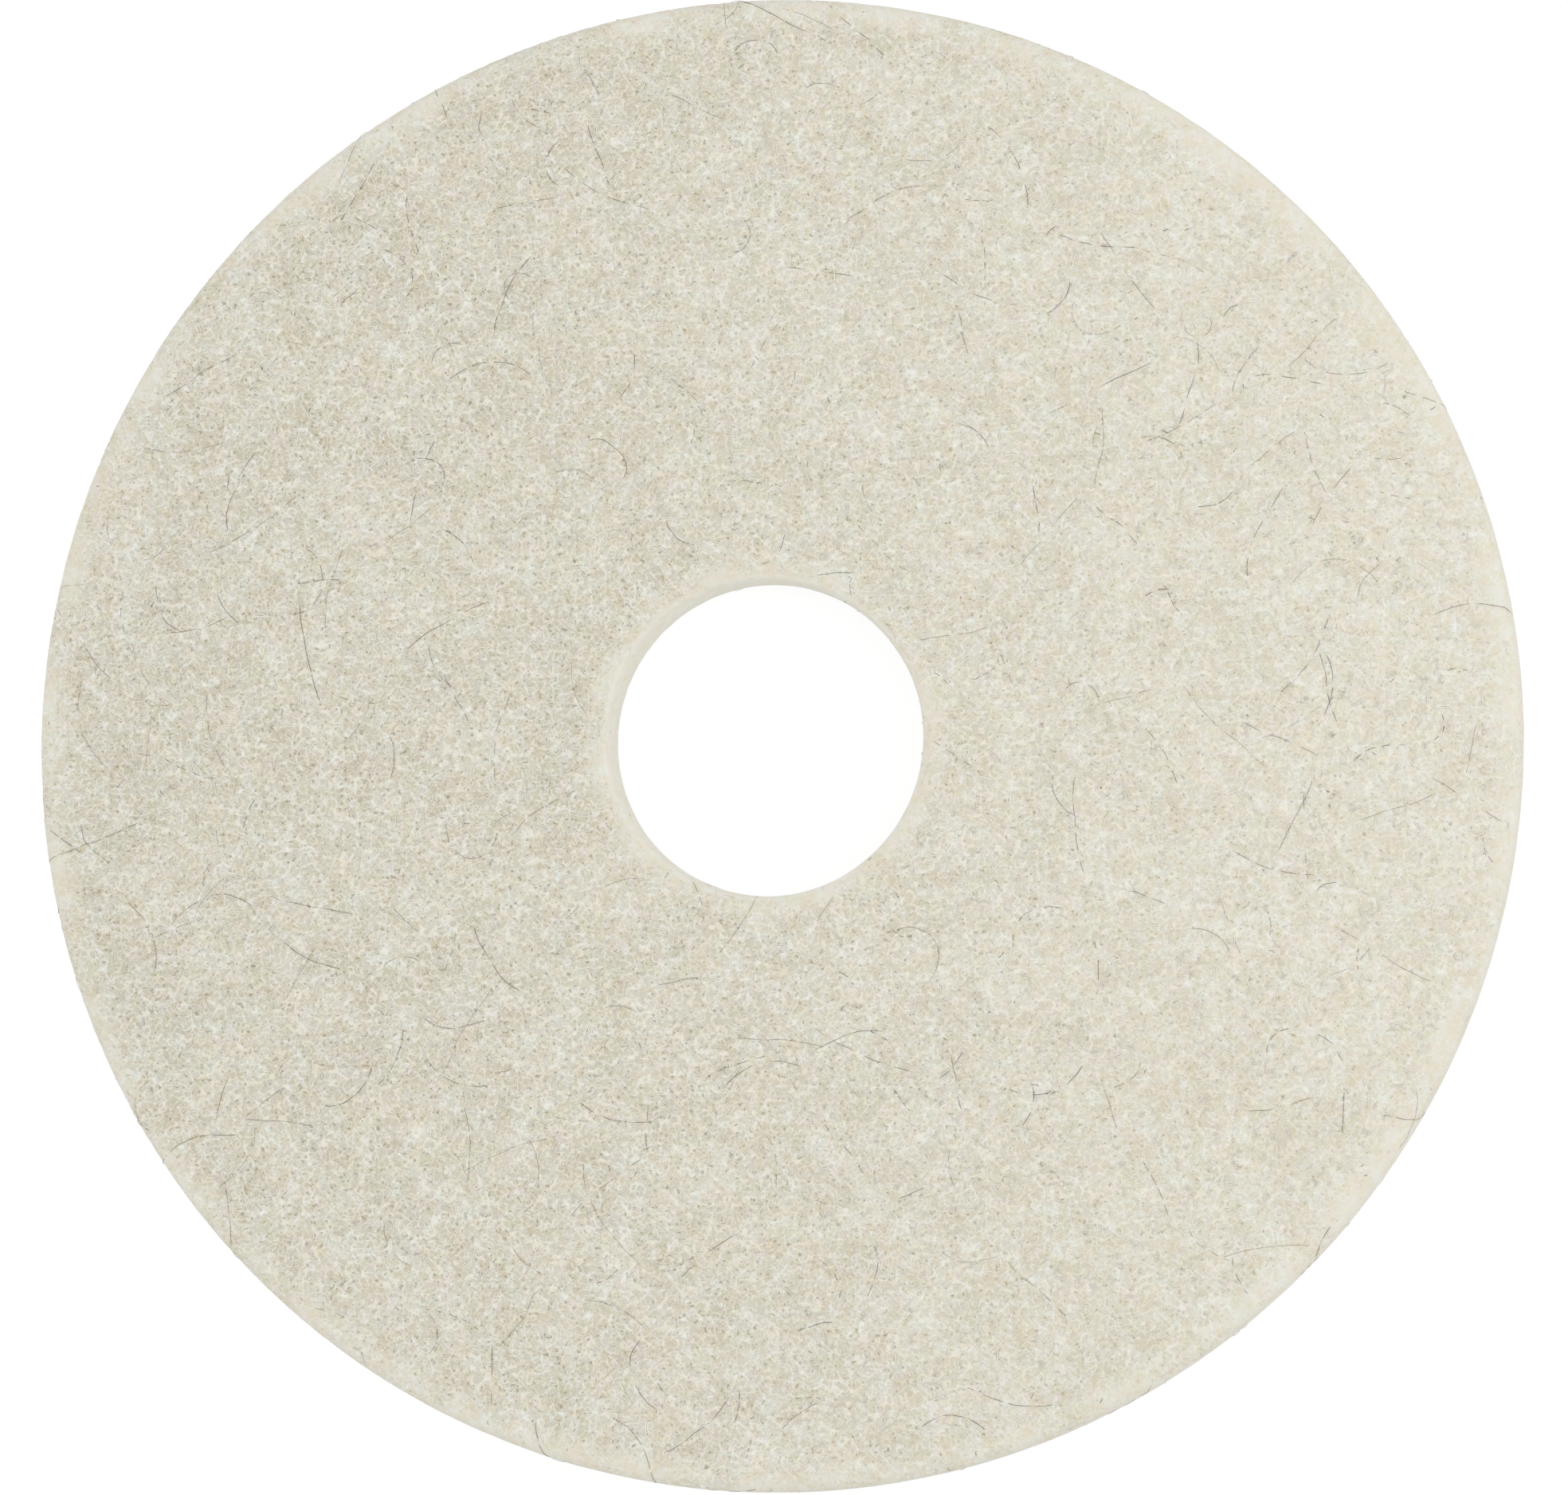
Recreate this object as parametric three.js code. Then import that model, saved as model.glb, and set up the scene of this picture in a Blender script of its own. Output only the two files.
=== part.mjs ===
// A round floor polishing pad: one disc of natural hair and polyester fibre, bonded with resin, and die cut with
// a centre hole for the machine's pad lock. It is a single piece, so the group holds a single mesh.
// Units are millimetres, +Z is up, and the origin is the middle of the face that the pad lies on.
import * as THREE from "three";

// Driving dimensions
const PAD_DIAMETER = 406; // the 16 inch size
const HOLE_DIAMETER = 85; // the metric centre hole, for the pad lock
const PAD_THICKNESS = 22; // the nominal 1 inch class, as new pads measure
const RIM_EDGE_RADIUS = 3.5; // the outer wall rolls over into each face
const HOLE_EDGE_RADIUS = 2.5; // the hole's wall rolls over into each face
const WALL_CROWN = 0.6; // how far both walls bulge at half height, where the web is not squeezed by the die

// Fineness of the round shapes
const ROUND_SEGMENTS = 120;
const EDGE_STEPS = 4;
const WALL_STEPS = 4;

// The web as the photograph shows it: a cream fibre mat, rough and without shine
const WEB_COLOUR = "#d9d4c6";
const WEB_ROUGHNESS = 0.95;

const padRadius = PAD_DIAMETER / 2;
const holeRadius = HOLE_DIAMETER / 2;
const rimEdge = Math.min(RIM_EDGE_RADIUS, PAD_THICKNESS * 0.49);
const holeEdge = Math.min(HOLE_EDGE_RADIUS, PAD_THICKNESS * 0.49);

// A quarter round about (centreX, centreZ), from one angle to the next, without its first point
function edgeArc(centreX, centreZ, radius, fromAngle, toAngle) {
  return Array.from({ length: EDGE_STEPS }, (_, i) => {
    const angle = fromAngle + ((toAngle - fromAngle) * (i + 1)) / EDGE_STEPS;
    return new THREE.Vector2(centreX + radius * Math.cos(angle), centreZ + radius * Math.sin(angle));
  });
}

// The stretch of a wall between its two edges, which swells by the crown at half height: both ends are left out
function crownedWall(wallX, fromZ, toZ, outward) {
  return Array.from({ length: WALL_STEPS - 1 }, (_, i) => {
    const share = (i + 1) / WALL_STEPS;
    const swell = WALL_CROWN * Math.sin(Math.PI * share);
    return new THREE.Vector2(wallX + outward * swell, fromZ + (toZ - fromZ) * share);
  });
}

// The half section of the ring, as (radius, height) points: up the outer wall, in over the top face, down the hole
function padSection() {
  const rimWall = padRadius - WALL_CROWN;
  const holeWall = holeRadius + WALL_CROWN;
  const rimCentre = rimWall - rimEdge;
  const holeCentre = holeWall + holeEdge;
  const top = PAD_THICKNESS;
  return [
    new THREE.Vector2(rimCentre, 0),
    ...edgeArc(rimCentre, rimEdge, rimEdge, -Math.PI / 2, 0),
    ...crownedWall(rimWall, rimEdge, top - rimEdge, 1),
    new THREE.Vector2(rimWall, top - rimEdge),
    ...edgeArc(rimCentre, top - rimEdge, rimEdge, 0, Math.PI / 2),
    new THREE.Vector2(holeCentre, top),
    ...edgeArc(holeCentre, top - holeEdge, holeEdge, Math.PI / 2, Math.PI),
    ...crownedWall(holeWall, top - holeEdge, holeEdge, -1),
    new THREE.Vector2(holeWall, holeEdge),
    ...edgeArc(holeCentre, holeEdge, holeEdge, Math.PI, Math.PI * 1.5),
    new THREE.Vector2(rimCentre, 0),
  ];
}

function makePad() {
  const geometry = new THREE.LatheGeometry(padSection(), ROUND_SEGMENTS);
  geometry.rotateX(Math.PI / 2); // the lathe turns about Y, and the pad's axis is Z
  const material = new THREE.MeshStandardMaterial({
    color: WEB_COLOUR,
    roughness: WEB_ROUGHNESS,
    metalness: 0,
  });
  const pad = new THREE.Mesh(geometry, material);
  pad.name = "pad";
  return pad;
}

const floorPad = new THREE.Group();
floorPad.add(makePad());

export default floorPad;
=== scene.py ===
"""A floor polishing pad of bonded natural hair and polyester web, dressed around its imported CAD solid.

Lengths are in metres, +Z is up, and the pad lies on the floor. The pad's skin is one closed mesh that stands
for the whole web. Pale fibres and dark hairs lie on it and dip into it as real strands. Everything random is
seeded.
"""

import math

import bpy
import numpy as np
from mathutils import Matrix, Vector


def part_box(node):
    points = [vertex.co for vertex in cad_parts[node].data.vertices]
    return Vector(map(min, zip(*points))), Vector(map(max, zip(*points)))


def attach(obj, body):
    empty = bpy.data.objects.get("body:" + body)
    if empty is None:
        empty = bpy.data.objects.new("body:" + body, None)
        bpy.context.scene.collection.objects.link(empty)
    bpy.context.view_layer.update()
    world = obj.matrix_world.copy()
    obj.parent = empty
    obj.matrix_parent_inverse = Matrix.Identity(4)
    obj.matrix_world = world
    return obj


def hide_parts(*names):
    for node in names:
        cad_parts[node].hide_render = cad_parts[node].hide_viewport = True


MM = 0.001
TURN = 2 * math.pi

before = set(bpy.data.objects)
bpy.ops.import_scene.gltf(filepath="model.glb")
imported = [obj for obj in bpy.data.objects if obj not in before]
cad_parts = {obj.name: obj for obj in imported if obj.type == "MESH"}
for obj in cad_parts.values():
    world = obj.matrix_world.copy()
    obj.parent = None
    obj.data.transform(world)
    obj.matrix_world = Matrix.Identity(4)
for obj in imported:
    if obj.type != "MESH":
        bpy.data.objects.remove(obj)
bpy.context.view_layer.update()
pad_low, pad_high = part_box("pad")

# The pad's section, as the CAD solid has it
TOP = pad_high[2]
RIM_RADIUS = (pad_high[0] - pad_low[0]) / 2
HOLE_RADIUS = 42.5 * MM
RIM_EDGE = 3.5 * MM
HOLE_EDGE = 2.5 * MM
WALL_CROWN = 0.6 * MM

# How finely the section is stepped, and what counts as one place or as lying on a face
SECTION_STEPS = 3000
SAME_PLACE = 1e-9
ON_FACE = 1e-7

# The skin's mesh, how far its points are shifted at random, as a share of a step, and its lumps
SKIN_SPACING = 1.83 * MM
SKIN_SHIFT = 0.24
SKIN_SINK = -0.12 * MM
LUMP_SIZES = (7 * MM, 3.2 * MM)
LUMP_HEIGHTS = (0.3 * MM, 0.3 * MM)
SKIN_SEED = 11
# Near the die's cut the lumps fade over this width, down to this share of their height
CALM_WIDTH = 9 * MM
CALM_SHARE = 0.15
# How far the strands of a bunch lie apart, and how much their headings differ
BUNCH_SPREAD = 20 * MM
BUNCH_TURN = 0.9

# Pale fibres: points along each, length, how much they curl and wander, width, and height as a share of it
FIBRE_POINTS = 8
FIBRE_LENGTHS = (3 * MM, 8 * MM)
FIBRE_CURL = 3.6
FIBRE_WANDER = 0.25
FIBRE_WIDTHS = (0.36 * MM, 0.6 * MM)
FIBRE_HEIGHT_SHARE = 0.5
# How far their middles rise, their ends dip and their points shake, how far they sink near the die's cut, and
# how low their middle lines may come on the underside
FIBRE_RISE = 0.16 * MM
FIBRE_DIP = 0.3 * MM
FIBRE_SHAKE = 0.05 * MM
FIBRE_SINK = 0.13 * MM
FIBRE_LOWEST = 0.24 * MM
# Each piece of fibres: its name, its seed, how many, and the side: 1 for the top and -1 for the underside
FIBRES = (
    ("web_fibres_top", 21, 4500, 1),
    ("web_fibres_top_fine", 22, 4500, 1),
    ("web_fibres_top_loose", 24, 4500, 1),
    ("web_fibres_under", 23, 1900, -1),
)

# Dark hairs: points along each, length and width, for a whole hair and for a short end that stands out
LONG_HAIR = (18, (6 * MM, 34 * MM), (0.06 * MM, 0.14 * MM))
HAIR_END = (5, (0.8 * MM, 3 * MM), (0.07 * MM, 0.15 * MM))
HAIR_CURL = 0.9
HAIR_WANDER = 0.08
HAIR_BUNCH = 2
# How often a hair weaves in and out, how far, how high it lies, how far its ends dip, and how low its middle
# line may come on the underside
HAIR_WAVES = (1, 5)
HAIR_WAVE_HEIGHT = 0.16 * MM
HAIR_RISE = (-0.02 * MM, 0.14 * MM)
HAIR_DIP = 0.5 * MM
HAIR_LOWEST = 0.1 * MM
# Each piece of hairs: its name, its seed, how many, the side and the kind
HAIRS = (
    ("hairs_top", 31, 350, 1, LONG_HAIR),
    ("hair_ends_top", 33, 430, 1, HAIR_END),
    ("hairs_under", 32, 300, -1, LONG_HAIR),
)

# The photograph's camera: it looks almost straight down, from a little to the right and a little in front
PHOTO_WIDTH = 1968
TILT_RIGHT = 8
TILT_FRONT = 4
CAMERA_DISTANCE = 1.2
CAMERA_AIM = (5.732 * MM, -2.896 * MM, TOP)
FOCAL_PIXELS = 5586
SENSOR_WIDTH = 36

# Each lamp's name, place, size and power
LAMPS = (
    ("right_lamp", (0.6, 0.06, 0.9), 0.45, 2.3),
    ("left_lamp", (-0.9, -0.1, 0.25), 0.4, 0.65),
)
# The strength of the white that lights the pad from all round
FILL_STRENGTH = 0.85
# The floor: the colour that it throws back as light, the colour and the glow that the camera sees, its half
# width and its place
FLOOR_COLOUR = (0.8, 0.8, 0.8, 1)
FLOOR_SHOWN_COLOUR = (0.16, 0.16, 0.16, 1)
FLOOR_GLOW = 0.88
FLOOR_HALF = 6.0
FLOOR_DROP = -0.3 * MM
WHITE = (1, 1, 1, 1)

# The numbers that turn a place in a grid into a random value
HASH_STEPS = (73856093, 19349663, 83492791)
HASH_SEED_STEP = 7919
HASH_FACTOR = 1274126177
HASH_BITS = 0xFFFFFFFF
HASH_LOW_BITS = 0xFFFF
GRID_START = 1000.0


def smooth_noise(points, cell, seed):
    """Smooth noise from -1 to 1 at each point, with one random value at each corner of a grid of cells."""
    place = points / cell + GRID_START
    corner = np.floor(place).astype(np.int64)
    share = place - corner
    share = share * share * (3 - 2 * share)
    total = np.zeros(points.shape[:-1])
    for step in np.ndindex(2, 2, 2):
        mixed = (corner + step) * HASH_STEPS
        hashed = (mixed[..., 0] ^ mixed[..., 1] ^ mixed[..., 2]) + seed * HASH_SEED_STEP
        hashed = (hashed ^ (hashed >> 13)) * HASH_FACTOR & HASH_BITS
        hashed = (hashed ^ (hashed >> 16)) & HASH_LOW_BITS
        weight = np.where(np.array(step) == 1, share, 1 - share).prod(axis=-1)
        total += weight * (hashed / (HASH_LOW_BITS / 2) - 1)
    return total


def arc(centre_r, centre_z, radius, start, end, count=24):
    """Points along part of a circle in the section. start and end are in degrees."""
    angles = np.radians(np.linspace(start, end, count))
    return np.stack([centre_r + radius * np.cos(angles), centre_z + radius * np.sin(angles)], axis=1)


def crowned_wall(wall_r, from_z, to_z, outward, start, end, count=16):
    """Part of a wall that bulges at half height. start and end are shares of the way from from_z to to_z."""
    share = np.linspace(start, end, count)
    r = wall_r + outward * WALL_CROWN * np.sin(math.pi * share)
    return np.stack([r, from_z + (to_z - from_z) * share], axis=1)


class Section:
    """The closed half section: from the middle of the hole's wall over the top and back under the pad."""

    hole_flat = HOLE_RADIUS + WALL_CROWN + HOLE_EDGE
    rim_flat = RIM_RADIUS - WALL_CROWN - RIM_EDGE
    hole_wall = HOLE_RADIUS + WALL_CROWN
    rim_wall = RIM_RADIUS - WALL_CROWN

    def __init__(self):
        path = [
            crowned_wall(self.hole_wall, HOLE_EDGE, TOP - HOLE_EDGE, -1, 0.5, 1),
            arc(self.hole_flat, TOP - HOLE_EDGE, HOLE_EDGE, 180, 90),
            arc(self.rim_flat, TOP - RIM_EDGE, RIM_EDGE, 90, 0),
            crowned_wall(self.rim_wall, TOP - RIM_EDGE, RIM_EDGE, 1, 0, 1, 32),
            arc(self.rim_flat, RIM_EDGE, RIM_EDGE, 0, -90),
            arc(self.hole_flat, HOLE_EDGE, HOLE_EDGE, -90, -180),
            crowned_wall(self.hole_wall, HOLE_EDGE, TOP - HOLE_EDGE, -1, 0, 0.5),
        ]
        points = np.concatenate(path)
        steps = np.hypot(*np.diff(points, axis=0).T)
        keep = np.concatenate([[True], steps > SAME_PLACE])
        points = points[keep]
        reach = np.concatenate([[0], np.cumsum(np.hypot(*np.diff(points, axis=0).T))])
        self.length = reach[-1]
        self.along = np.linspace(0, self.length, SECTION_STEPS)
        self.r = np.interp(self.along, reach, points[:, 0])
        self.z = np.interp(self.along, reach, points[:, 1])
        run_r, run_z = np.gradient(self.r), np.gradient(self.z)
        size = np.hypot(run_r, run_z)
        self.normal_r, self.normal_z = -run_z / size, run_r / size
        flat = np.abs(self.z - TOP) < ON_FACE
        self.top_start = self.along[flat][0] - (self.r[flat][0] - self.hole_flat)
        under = np.abs(self.z) < ON_FACE
        self.under_start = self.along[under][0] - (self.rim_flat - self.r[under][0])

    def at(self, along, turn):
        """The skin's points and outward normals at places along the section, turned about the pad's axis."""
        along = np.mod(along, self.length)
        r, z = np.interp(along, self.along, self.r), np.interp(along, self.along, self.z)
        out, up = np.interp(along, self.along, self.normal_r), np.interp(along, self.along, self.normal_z)
        cos, sin = np.cos(turn), np.sin(turn)
        return np.stack([r * cos, r * sin, z], axis=-1), np.stack([out * cos, out * sin, up], axis=-1)

    def wrap(self, flat_x, flat_y, side):
        """Lays a flat drawing on one side of the pad and folds what passes its edges over the walls."""
        reach = np.hypot(flat_x, flat_y)
        if side > 0:
            along = self.top_start + reach - self.hole_flat
        else:
            along = self.under_start + self.rim_flat - reach
        return self.at(along, np.arctan2(flat_y, flat_x))


section = Section()


def calm(points):
    """1 on the faces, falling to a smaller share at the walls, where the die leaves the web smoother."""
    reach = np.hypot(points[..., 0], points[..., 1])
    from_cut = np.minimum(RIM_RADIUS - reach, reach - HOLE_RADIUS)
    return np.clip(from_cut / CALM_WIDTH, CALM_SHARE, 1)


def lumps(points):
    """How far the web stands out of the plain solid at each point. It is mostly a little below it."""
    height = SKIN_SINK
    for number, (size, most) in enumerate(zip(LUMP_SIZES, LUMP_HEIGHTS)):
        height = height + calm(points) * most * smooth_noise(points, size, SKIN_SEED + number)
    return height


def new_piece(name, vertices, faces, material):
    """A smooth mesh of triangles that rides on the pad's body and takes the CAD solid's place."""
    mesh = bpy.data.meshes.new(name)
    faces = np.asarray(faces, dtype=np.int32)
    mesh.vertices.add(len(vertices))
    mesh.vertices.foreach_set("co", np.asarray(vertices, dtype=np.float32).ravel())
    mesh.loops.add(faces.size)
    mesh.loops.foreach_set("vertex_index", faces.ravel())
    mesh.polygons.add(len(faces))
    mesh.polygons.foreach_set("loop_start", np.arange(0, faces.size, 3, dtype=np.int32))
    mesh.polygons.foreach_set("loop_total", np.full(len(faces), 3, dtype=np.int32))
    mesh.update(calc_edges=True)
    mesh.validate()
    mesh.shade_smooth()
    mesh.materials.append(material)
    piece = bpy.data.objects.new(name, mesh)
    bpy.context.scene.collection.objects.link(piece)
    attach(piece, "root")
    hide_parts("pad")
    return piece


def zip_rings(first, first_phase, second, second_phase):
    """Triangles between two rings of points, given as lists of numbers. Each phase is a share of a step."""
    faces = []
    i = j = 0
    n, m = len(first), len(second)
    while i < n or j < m:
        if j == m or (i < n and (i + 1 + first_phase) / n <= (j + 1 + second_phase) / m):
            faces.append((first[i % n], second[j % m], first[(i + 1) % n]))
            i += 1
        else:
            faces.append((first[i % n], second[j % m], second[(j + 1) % m]))
            j += 1
    return faces


def make_skin(material):
    """One closed mesh of the whole web: rings about the axis, each with as many points as its girth needs."""
    rng = np.random.default_rng(SKIN_SEED)
    rows = round(section.length / (SKIN_SPACING * math.sqrt(3) / 2))
    row_step = section.length / rows
    rings, phases, along, turn = [], [], [], []
    start = 0
    for row in range(rows):
        radius = np.interp(row * row_step, section.along, section.r)
        count = round(TURN * radius / SKIN_SPACING)
        phase = rng.random()
        shift = rng.uniform(-SKIN_SHIFT, SKIN_SHIFT, (2, count))
        rings.append(list(range(start, start + count)))
        phases.append(phase)
        along.append((row + shift[0]) * row_step)
        turn.append((np.arange(count) + phase + shift[1]) / count * TURN)
        start += count
    faces = []
    for row in range(rows):
        following = (row + 1) % rows
        faces += zip_rings(rings[row], phases[row], rings[following], phases[following])
    points, normals = section.at(np.concatenate(along), np.concatenate(turn))
    points = points + normals * lumps(points)[:, None]
    points[:, 2] = np.maximum(points[:, 2], 0)
    skin = new_piece("pad_web", points, faces, material)
    return skin


def strand_paths(rng, count, points, lengths, bend, wander, bunch=1):
    """Flat drawings of strands that wander over one face of the pad: x and y, one row for each strand.

    Strands lie in loose bunches of that many. What would pass the middle of a wall is left out.
    """
    inner = section.hole_flat - section.top_start
    outer = section.rim_flat + RIM_EDGE * math.pi / 2 + (TOP / 2 - RIM_EDGE)
    start_r = np.sqrt(rng.uniform(inner**2, outer**2, count))
    start_turn = rng.uniform(0, TURN, count)
    length = rng.uniform(lengths[0], lengths[1], count)
    step = length / (points - 1)
    curl = rng.laplace(0, bend, count)
    wiggle = np.cumsum(rng.normal(0, wander, (count, points)), axis=1)
    heading = rng.uniform(0, TURN, count)
    first = np.arange(count) // bunch * bunch
    start = np.stack([start_r * np.cos(start_turn), start_r * np.sin(start_turn)])
    if bunch > 1:
        start = start[:, first] + rng.normal(0, BUNCH_SPREAD, (2, count))
        heading = heading[first] + rng.normal(0, BUNCH_TURN, count)
    heading = heading[:, None] + curl[:, None] * np.linspace(-0.5, 0.5, points) + wiggle
    x = np.cumsum(np.cos(heading), axis=1) * step[:, None]
    y = np.cumsum(np.sin(heading), axis=1) * step[:, None]
    x += (start[0] - x[:, points // 2])[:, None]
    y += (start[1] - y[:, points // 2])[:, None]
    reach = np.hypot(x, y)
    kept = ((reach > inner) & (reach < outer)).all(axis=1)
    return x[kept], y[kept]


def strand_mesh(centres, normals, widths, height_share):
    """Closed three-sided tubes along rows of centres. widths is one row for each strand."""
    count, points = centres.shape[:2]
    tangent = np.gradient(centres, axis=1)
    tangent /= np.linalg.norm(tangent, axis=2, keepdims=True) + 1e-12
    aside = np.cross(tangent, normals)
    aside /= np.linalg.norm(aside, axis=2, keepdims=True) + 1e-12
    up = np.cross(aside, tangent)
    half = widths[..., None] / 2
    corners = []
    for angle in (90, 210, 330):
        cos, sin = math.cos(math.radians(angle)), math.sin(math.radians(angle))
        corners.append(centres + half * (aside * cos + up * sin * height_share))
    vertices = np.stack(corners, axis=2).reshape(-1, 3)
    base = (np.arange(count) * points * 3)[:, None, None] + (np.arange(points - 1) * 3)[None, :, None]
    faces = []
    for corner in range(3):
        after = (corner + 1) % 3
        faces.append(base + [corner, after, after + 3])
        faces.append(base + [corner, after + 3, corner + 3])
    sides = np.stack(faces, axis=2).reshape(-1, 3)
    first = np.arange(count)[:, None] * points * 3
    caps = np.concatenate([first + [2, 1, 0], first + (points - 1) * 3 + [0, 1, 2]])
    return vertices, np.concatenate([sides, caps])


def make_fibres(name, seed, count, side, material):
    """Pale web fibres that arch out of the skin at their middles and end inside it."""
    rng = np.random.default_rng(seed)
    x, y = strand_paths(rng, count, FIBRE_POINTS, FIBRE_LENGTHS, FIBRE_CURL, FIBRE_WANDER)
    count = len(x)
    centres, normals = section.wrap(x, y, side)
    share = np.linspace(0, 1, FIBRE_POINTS)
    arch = np.sin(math.pi * share) ** 0.7
    calmness = calm(centres)
    rise = rng.uniform(0.0, FIBRE_RISE, count)[:, None] * arch * calmness - FIBRE_DIP * (1 - arch)
    rise += rng.normal(0, FIBRE_SHAKE, (count, FIBRE_POINTS)) * calmness
    rise -= FIBRE_SINK * (1 - calmness)
    centres = centres + normals * (lumps(centres) + rise)[..., None]
    if side < 0:
        centres[..., 2] = np.maximum(centres[..., 2], FIBRE_LOWEST)
    widths = rng.uniform(*FIBRE_WIDTHS, count)[:, None] * (0.5 + 0.5 * arch)
    vertices, faces = strand_mesh(centres, normals, widths, FIBRE_HEIGHT_SHARE)
    return new_piece(name, vertices, faces, material)


def make_hairs(name, seed, count, side, kind, material):
    """Dark hairs that weave in and out of the web, so that they show as broken lines."""
    points, lengths, widths = kind
    rng = np.random.default_rng(seed)
    x, y = strand_paths(rng, count, points, lengths, HAIR_CURL, HAIR_WANDER, HAIR_BUNCH)
    count = len(x)
    centres, normals = section.wrap(x, y, side)
    share = np.linspace(0, 1, points)
    waves = rng.uniform(*HAIR_WAVES, count)[:, None] * share * TURN + rng.uniform(0, TURN, count)[:, None]
    rise = HAIR_WAVE_HEIGHT * np.sin(waves) + rng.uniform(*HAIR_RISE, count)[:, None]
    rise -= HAIR_DIP * (np.abs(share * 2 - 1) ** 8)
    centres = centres + normals * (lumps(centres) + rise)[..., None]
    if side < 0:
        centres[..., 2] = np.maximum(centres[..., 2], HAIR_LOWEST)
    thickness = rng.uniform(*widths, count)[:, None] * np.ones(points)
    vertices, faces = strand_mesh(centres, normals, thickness, height_share=1)
    return new_piece(name, vertices, faces, material)


def add(tree, kind, inputs=None, **settings):
    """A new node with its settings and inputs. An input that is a socket is linked."""
    made = tree.nodes.new(kind)
    for name, value in settings.items():
        setattr(made, name, value)
    for name, value in (inputs or {}).items():
        if isinstance(value, bpy.types.NodeSocket):
            tree.links.new(value, made.inputs[name])
        else:
            made.inputs[name].default_value = value
    return made


def linear(red, green, blue):
    """An sRGB colour, from 0 to 255, as the linear colour that a shader takes."""
    parts = []
    for part in (red, green, blue):
        part /= 255
        parts.append(part / 12.92 if part <= 0.04045 else ((part + 0.055) / 1.055) ** 2.4)
    return (*parts, 1)


# The web's own colour in its tan patches and in its pale ones, and the tints that drift over it
WEB_TAN = linear(223, 216, 197)
WEB_PALE = linear(227, 225, 218)
GREENISH = (0.98, 1.0, 0.975, 1)
PINKISH = (1.0, 0.97, 0.955, 1)
# How bright the web is by height: yellower and darker down in a pore, greyer and paler on the top threads.
# Down in a pore this is partly the web's own tan and partly painted shade of the hollow
HEIGHT_TONES_AND_PAINTED_SHADE = (
    (0.0, (0.56, 0.55, 0.49, 1)),
    (0.3, (0.8, 0.795, 0.755, 1)),
    (0.6, (0.995, 1.0, 0.995, 1)),
    (1.0, (1.12, 1.145, 1.18, 1)),
)
# Each net of pale threads: the size of its loops, the width of its threads, its weight and where it starts
THREADS = ((2.8 * MM, 0.08, 0.42, 0.1), (2.0 * MM, 0.09, 0.41, 0.3), (1.4 * MM, 0.11, 0.36, 0.5))
# The size of the noise that pushes the threads' places about, and how far it does, so that none runs straight
BEND_SIZE = 1.3 * MM
BEND_AMOUNT = 1.0 * MM
# Layers of noise: size, detail, roughness, and the values of the noise that count as none and as full
MOTTLE = (6 * MM, 4, 0.75, 0.34, 0.66)
PATCHES = (2.6 * MM, 2, 0.6, 0.38, 0.62)
TINT = (5 * MM, 4, 0.7, 0.38, 0.62)
GRAIN = (0.5 * MM, 2, 0.7, 0.25, 0.75)
PORES = (1.1 * MM, 2, 0.6, 0.58, 0.72)
SWELLS = (14 * MM, 2, 0.5, 0.35, 0.65)
# Where the cut edges are drawn paler: partly closed web and partly painted light
CLOSED_AND_LIT_EDGE = (22 * MM, 2, 0.5, 0.35, 0.65)
# What each layer does to the web's height, which runs from 0 in a pore to 1 on the top threads
BASE_HEIGHT = 0.29
MOTTLE_HEIGHT = 0.09
GRAIN_HEIGHT = 0.05
PORE_DEPTH = 0.55
SWELL_HEIGHT = 0.05
# Threads start to dive where a noise falls to the first value, and are down at the second, where this share of
# their height is left
DIVE_FROM = 0.6
DIVE_TO = 0.4
THREAD_LEAST = 0.25
# Where the pores' and the patches' noises start, and how much of the patches is their own and how much mottle
PORE_SHIFT = 0.7
PATCH_SHIFT = 1.9
PATCH_SHARE = 0.5
# The height that the web is drawn to on its +X side, by what share, and between which places along X: painted
# light that makes the side facing the right lamp paler and flatter
LIT_SIDE_HEIGHT = 0.68
LIT_SIDE_SHARE = 0.4
LIT_SIDE_FROM = -0.12
LIT_SIDE_TO = 0.2
# The heights that it is drawn to at the cut edges, and the least and the greatest share. The edges are paler
# there, partly as web closed up by the die and partly as painted light
RIM_CLOSED_AND_LIT_HEIGHT = 0.72
HOLE_EDGE_CLOSED_AND_LIT_HEIGHT = 0.68
CLOSED_AND_LIT_SHARES = (0.2, 0.8)
# The height that the hole's wall is drawn to, and by what share: painted light that keeps the wall pale where
# the hole shades it
HOLE_WALL_PAINTED_LIGHT_HEIGHT = 1.0
HOLE_WALL_PAINTED_LIGHT_SHARE = 0.9
BUMP_STRENGTH = 0.4
BUMP_DISTANCE = 0.5 * MM
# How far from the pad's cut each of these bands starts, and how far it is full
RIM_BAND = (12 * MM, 1 * MM)
HOLE_BAND = (9 * MM, 1 * MM)
HOLE_WALL_BAND = (2.4 * MM, 0.6 * MM)
# The two tones of each kind of strand, and the size of the noise that drifts between them
PALE_FIBRE_TONES = (linear(238, 234, 223), linear(221, 216, 201))
DARK_HAIR_TONES = (linear(130, 115, 92), linear(64, 57, 47))
TONE_DRIFT = 4 * MM


def new_material(name):
    """A material with its tree and its surface shader, already linked to the output."""
    material = bpy.data.materials.new(name)
    material.use_nodes = True
    tree = material.node_tree
    tree.nodes.clear()
    output = tree.nodes.new("ShaderNodeOutputMaterial")
    shader = tree.nodes.new("ShaderNodeBsdfPrincipled")
    tree.links.new(shader.outputs["BSDF"], output.inputs["Surface"])
    return material, tree, shader


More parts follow.
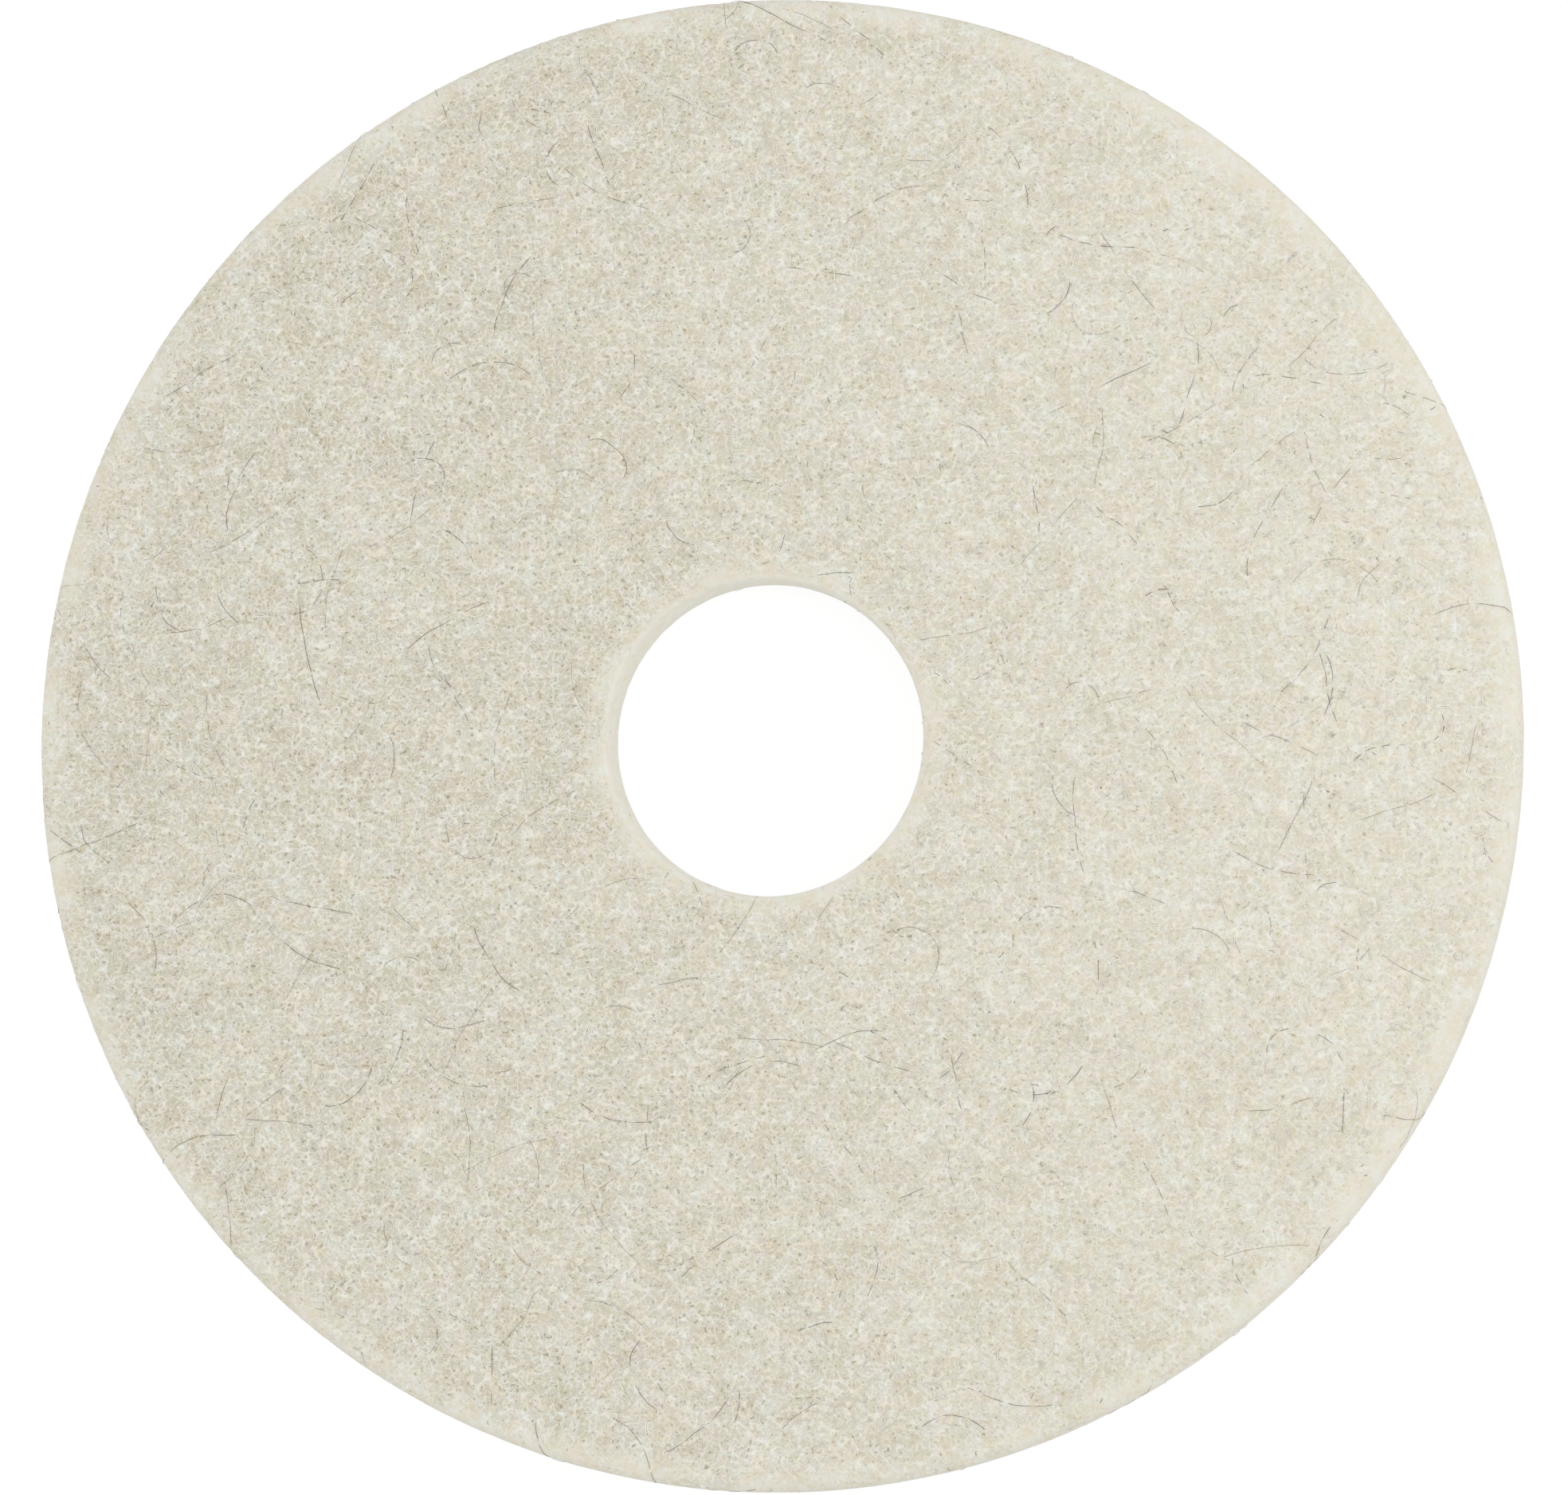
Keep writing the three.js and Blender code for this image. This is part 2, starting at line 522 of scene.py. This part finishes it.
def ramp(tree, factor, stops):
    """A colour ramp with stops of (place, colour)."""
    made = add(tree, "ShaderNodeValToRGB", {"Fac": factor})
    elements = made.color_ramp.elements
    while len(elements) < len(stops):
        elements.new(0.5)
    for element, (place, colour) in zip(elements, stops):
        element.position = place
        element.color = colour
    return made.outputs["Color"]


def math_node(tree, operation, first, second=0.0):
    made = add(tree, "ShaderNodeMath", operation=operation)
    for socket, value in zip(made.inputs, (first, second)):
        if isinstance(value, bpy.types.NodeSocket):
            tree.links.new(value, socket)
        else:
            socket.default_value = value
    return made.outputs[0]


def mix_colour(tree, factor, first, second, blend="MIX"):
    made = add(tree, "ShaderNodeMix", data_type="RGBA", blend_type=blend)
    for socket, value in zip((made.inputs[0], made.inputs[6], made.inputs[7]), (factor, first, second)):
        if isinstance(value, bpy.types.NodeSocket):
            tree.links.new(value, socket)
        else:
            socket.default_value = value
    return made.outputs[2]


def mix_number(tree, share, first, second):
    """first, drawn towards the plain number second by that share."""
    made = add(tree, "ShaderNodeMix", data_type="FLOAT")
    tree.links.new(share, made.inputs[0])
    tree.links.new(first, made.inputs[2])
    made.inputs[3].default_value = second
    return made.outputs[0]


def remap(tree, value, low, high, to_low=0.0, to_high=1.0):
    """A smooth step between two values."""
    inputs = {"Value": value, "From Min": low, "From Max": high, "To Min": to_low, "To Max": to_high}
    return add(tree, "ShaderNodeMapRange", inputs, interpolation_type="SMOOTHSTEP").outputs["Result"]


def noise(tree, coordinates, size, detail=2.0, roughness=0.5, colour=False):
    made = add(
        tree,
        "ShaderNodeTexNoise",
        {"Vector": coordinates, "Scale": 1 / size, "Detail": detail, "Roughness": roughness},
    )
    return made.outputs["Color" if colour else "Fac"]


def layer(tree, coordinates, kind, least=0.0, most=1.0):
    """A layer of noise, as its size, detail, roughness and two limits say, from least to most."""
    size, detail, roughness, low, high = kind
    return remap(tree, noise(tree, coordinates, size, detail, roughness), low, high, least, most)


def warped(tree, coordinates, size, amount):
    """The coordinates, pushed about by noise of that size by up to about half the amount."""
    push = noise(tree, coordinates, size, 2, 0.5, colour=True)
    centred = add(tree, "ShaderNodeVectorMath", operation="SUBTRACT")
    tree.links.new(push, centred.inputs[0])
    centred.inputs[1].default_value = (0.5, 0.5, 0.5)
    pushed = add(tree, "ShaderNodeVectorMath", operation="MULTIPLY_ADD")
    tree.links.new(centred.outputs[0], pushed.inputs[0])
    pushed.inputs[1].default_value = (amount, amount, amount)
    tree.links.new(coordinates, pushed.inputs[2])
    return pushed.outputs[0]


def moved(tree, coordinates, shift):
    """The coordinates from another place, so that two layers of one size don't fall together."""
    made = add(tree, "ShaderNodeVectorMath", operation="ADD")
    tree.links.new(coordinates, made.inputs[0])
    made.inputs[1].default_value = (shift, shift * 0.7, shift * 1.3)
    return made.outputs[0]


def curled_lines(tree, coordinates, size, width, shift):
    """Pale lines that curl round pores of about that size: where smooth noise passes its middle value."""
    height = noise(tree, moved(tree, coordinates, shift), size, 0, 0.5)
    away = math_node(tree, "ABSOLUTE", math_node(tree, "SUBTRACT", height, 0.5))
    return remap(tree, away, 0.0, width, 1.0, 0.0)


def cut_edge_masks(tree, coordinates):
    """Masks that fade to 0 on the faces: for the rim's edge, the hole's edge and the hole's wall alone, where
    the web is drawn paler, partly as closed web and partly as painted light.
    """
    parts = add(tree, "ShaderNodeSeparateXYZ", {"Vector": coordinates})
    across = add(tree, "ShaderNodeCombineXYZ", {"X": parts.outputs["X"], "Y": parts.outputs["Y"]})
    reach = add(tree, "ShaderNodeVectorMath", {"Vector": across.outputs[0]}, operation="LENGTH")
    length = reach.outputs["Value"]
    rim = remap(tree, length, RIM_RADIUS - RIM_BAND[0], RIM_RADIUS - RIM_BAND[1])
    hole = remap(tree, length, HOLE_RADIUS + HOLE_BAND[0], HOLE_RADIUS + HOLE_BAND[1])
    hole_wall = remap(tree, length, HOLE_RADIUS + HOLE_WALL_BAND[0], HOLE_RADIUS + HOLE_WALL_BAND[1])
    return rim, hole, hole_wall


def painted_lit_side(tree, coordinates):
    """How far the web is drawn paler and flatter towards the pad's +X side, where its pores are fainter:
    painted light from the right.
    """
    parts = add(tree, "ShaderNodeSeparateXYZ", {"Vector": coordinates})
    return remap(tree, parts.outputs["X"], LIT_SIDE_FROM, LIT_SIDE_TO, 0.0, LIT_SIDE_SHARE)


def web_height(tree, coordinates, bent, mottle):
    """The web's height: pale threads over pores, drawn paler at the cut edges, partly as closed-up web and
    partly as painted light, and paler as painted light on the hole's wall and towards the +X side.
    """
    height = math_node(tree, "ADD", BASE_HEIGHT, math_node(tree, "MULTIPLY", mottle, MOTTLE_HEIGHT))
    for size, width, weight, shift in THREADS:
        lines = curled_lines(tree, bent, size, width, shift)
        dive = noise(tree, moved(tree, coordinates, shift * 2), size, 1, 0.5)
        lines = math_node(tree, "MULTIPLY", lines, remap(tree, dive, DIVE_TO, DIVE_FROM, THREAD_LEAST, 1.0))
        height = math_node(tree, "ADD", height, math_node(tree, "MULTIPLY", lines, weight))
    height = math_node(tree, "ADD", height, layer(tree, coordinates, GRAIN, -GRAIN_HEIGHT, GRAIN_HEIGHT))
    pores = layer(tree, moved(tree, coordinates, PORE_SHIFT), PORES, 0.0, -PORE_DEPTH)
    height = math_node(tree, "ADD", height, pores)
    height = math_node(tree, "ADD", height, layer(tree, coordinates, SWELLS, -SWELL_HEIGHT, SWELL_HEIGHT))
    rim, hole, hole_wall = cut_edge_masks(tree, coordinates)
    # The cut edges are drawn paler, partly as web closed up by the die and partly as painted light
    closed = layer(tree, coordinates, CLOSED_AND_LIT_EDGE, *CLOSED_AND_LIT_SHARES)
    # Painted light: the +X side, which the right lamp lights, is drawn paler and flatter
    height = mix_number(tree, painted_lit_side(tree, coordinates), height, LIT_SIDE_HEIGHT)
    height = mix_number(tree, math_node(tree, "MULTIPLY", rim, closed), height, RIM_CLOSED_AND_LIT_HEIGHT)
    height = mix_number(tree, math_node(tree, "MULTIPLY", hole, closed), height, HOLE_EDGE_CLOSED_AND_LIT_HEIGHT)
    # The hole's wall is drawn pale as painted light, over the shade inside the hole
    wall_painted_light = math_node(tree, "MULTIPLY", hole_wall, HOLE_WALL_PAINTED_LIGHT_SHARE)
    return mix_number(tree, wall_painted_light, height, HOLE_WALL_PAINTED_LIGHT_HEIGHT)


def web_colour(tree, coordinates, bent, mottle, height):
    """The web's colour: tan and pale patches, a drifting tint, and tones by height, with painted shade in the
    pores and painted light where the height is raised.
    """
    patches = layer(tree, moved(tree, bent, PATCH_SHIFT), PATCHES)
    patches = math_node(tree, "MULTIPLY", patches, PATCH_SHARE)
    patches = math_node(tree, "ADD", patches, math_node(tree, "MULTIPLY", mottle, 1 - PATCH_SHARE))
    colour = mix_colour(tree, patches, WEB_TAN, WEB_PALE)
    tint = mix_colour(tree, layer(tree, coordinates, TINT), GREENISH, PINKISH)
    colour = mix_colour(tree, 1.0, colour, tint, "MULTIPLY")
    # The tones by height: painted shade darkens the pores, and painted light brightens what web_height raises
    return mix_colour(tree, 1.0, colour, ramp(tree, height, HEIGHT_TONES_AND_PAINTED_SHADE), "MULTIPLY")


def web_material():
    """The bonded web: a net of pale curled threads over pores that are tan here and grey-green there."""
    material, tree, shader = new_material("bonded_web")
    coordinates = add(tree, "ShaderNodeTexCoord").outputs["Object"]
    bent = warped(tree, coordinates, BEND_SIZE, BEND_AMOUNT)
    mottle = layer(tree, bent, MOTTLE)
    height = web_height(tree, coordinates, bent, mottle)
    tree.links.new(web_colour(tree, coordinates, bent, mottle, height), shader.inputs["Base Color"])
    relief = {"Strength": BUMP_STRENGTH, "Distance": BUMP_DISTANCE, "Height": height}
    bump = add(tree, "ShaderNodeBump", relief)
    tree.links.new(bump.outputs["Normal"], shader.inputs["Normal"])
    shader.inputs["Roughness"].default_value = 0.92
    shader.inputs["Specular IOR Level"].default_value = 0.2
    shader.inputs["Sheen Weight"].default_value = 0.25
    shader.inputs["Sheen Roughness"].default_value = 0.5
    return material


def strand_material(name, tones, roughness, sheen):
    """A strand whose colour drifts between two tones along its length."""
    material, tree, shader = new_material(name)
    coordinates = add(tree, "ShaderNodeTexCoord").outputs["Object"]
    tone = noise(tree, coordinates, TONE_DRIFT, 2, 0.5)
    pale, dark = tones
    colour = ramp(tree, tone, [(0.35, dark), (0.65, pale)])
    tree.links.new(colour, shader.inputs["Base Color"])
    shader.inputs["Roughness"].default_value = roughness
    shader.inputs["Specular IOR Level"].default_value = 0.3
    shader.inputs["Sheen Weight"].default_value = sheen
    return material


def seen_directly(tree):
    """1 for what the camera sees, straight or by reflection, and 0 for light that falls on things."""
    path = add(tree, "ShaderNodeLightPath")
    seen = math_node(tree, "MAXIMUM", path.outputs["Is Camera Ray"], path.outputs["Is Glossy Ray"])
    return math_node(tree, "MAXIMUM", seen, path.outputs["Is Transmission Ray"])


def floor_material():
    """A white floor. The camera sees it white by its own glow, with the pad's soft shadow on it."""
    material, tree, shader = new_material("studio_floor")
    shader.inputs["Base Color"].default_value = FLOOR_COLOUR
    shader.inputs["Roughness"].default_value = 0.9
    shown = add(tree, "ShaderNodeBsdfDiffuse", {"Color": FLOOR_SHOWN_COLOUR})
    glow = add(tree, "ShaderNodeEmission", {"Color": WHITE, "Strength": FLOOR_GLOW})
    both = add(tree, "ShaderNodeAddShader")
    tree.links.new(shown.outputs[0], both.inputs[0])
    tree.links.new(glow.outputs[0], both.inputs[1])
    either = add(tree, "ShaderNodeMixShader", {"Fac": seen_directly(tree)})
    tree.links.new(shader.outputs[0], either.inputs[1])
    tree.links.new(both.outputs[0], either.inputs[2])
    output = next(node for node in tree.nodes if node.type == "OUTPUT_MATERIAL")
    tree.links.new(either.outputs[0], output.inputs["Surface"])
    return material


def make_floor():
    """The floor lies a little below the pad, clear of its lowest strands."""
    mesh = bpy.data.meshes.new("floor")
    signs = ((-1, -1), (1, -1), (1, 1), (-1, 1))
    corners = [(x * FLOOR_HALF, y * FLOOR_HALF, FLOOR_DROP) for x, y in signs]
    mesh.from_pydata(corners, [], [(0, 1, 2, 3)])
    mesh.materials.append(floor_material())
    floor = bpy.data.objects.new("floor", mesh)
    bpy.context.scene.collection.objects.link(floor)


def make_world():
    """White all round: pure white where the camera sees it, and a little weaker as light."""
    world = bpy.data.worlds.new("studio")
    world.use_nodes = True
    tree = world.node_tree
    tree.nodes.clear()
    fill = add(tree, "ShaderNodeBackground", {"Color": WHITE, "Strength": FILL_STRENGTH})
    white = add(tree, "ShaderNodeBackground", {"Color": WHITE, "Strength": 1.0})
    either = add(tree, "ShaderNodeMixShader", {"Fac": seen_directly(tree)})
    tree.links.new(fill.outputs[0], either.inputs[1])
    tree.links.new(white.outputs[0], either.inputs[2])
    output = add(tree, "ShaderNodeOutputWorld")
    tree.links.new(either.outputs[0], output.inputs["Surface"])
    bpy.context.scene.world = world


def make_lamp(name, place, size, power):
    """A soft square lamp that faces the pad."""
    light = bpy.data.lights.new(name, "AREA")
    light.size = size
    light.energy = power
    lamp = bpy.data.objects.new(name, light)
    lamp.location = place
    lamp.rotation_euler = (-Vector(place)).to_track_quat("-Z", "Y").to_euler()
    bpy.context.scene.collection.objects.link(lamp)


def make_camera():
    """The photograph's camera, upright with the pad's Y axis."""
    camera_data = bpy.data.cameras.new("camera")
    camera_data.sensor_width = SENSOR_WIDTH
    camera_data.lens = FOCAL_PIXELS / PHOTO_WIDTH * SENSOR_WIDTH
    camera = bpy.data.objects.new("camera", camera_data)
    back = Vector((math.tan(math.radians(TILT_RIGHT)), -math.tan(math.radians(TILT_FRONT)), 1)).normalized()
    right = Vector((0, 1, 0)).cross(back).normalized()
    up = back.cross(right)
    camera.location = Vector(CAMERA_AIM) + back * CAMERA_DISTANCE
    camera.rotation_euler = Matrix((right, up, back)).transposed().to_euler()
    bpy.context.scene.collection.objects.link(camera)
    bpy.context.scene.camera = camera


def main():
    bpy.context.scene.view_settings.view_transform = "Standard"
    make_camera()
    make_world()
    for lamp in LAMPS:
        make_lamp(*lamp)
    make_floor()
    web = web_material()
    pale = strand_material("pale_fibre", PALE_FIBRE_TONES, roughness=0.85, sheen=0.2)
    dark = strand_material("dark_hair", DARK_HAIR_TONES, roughness=0.6, sheen=0.0)
    make_skin(web)
    for fibres in FIBRES:
        make_fibres(*fibres, pale)
    for hairs in HAIRS:
        make_hairs(*hairs, dark)


main()
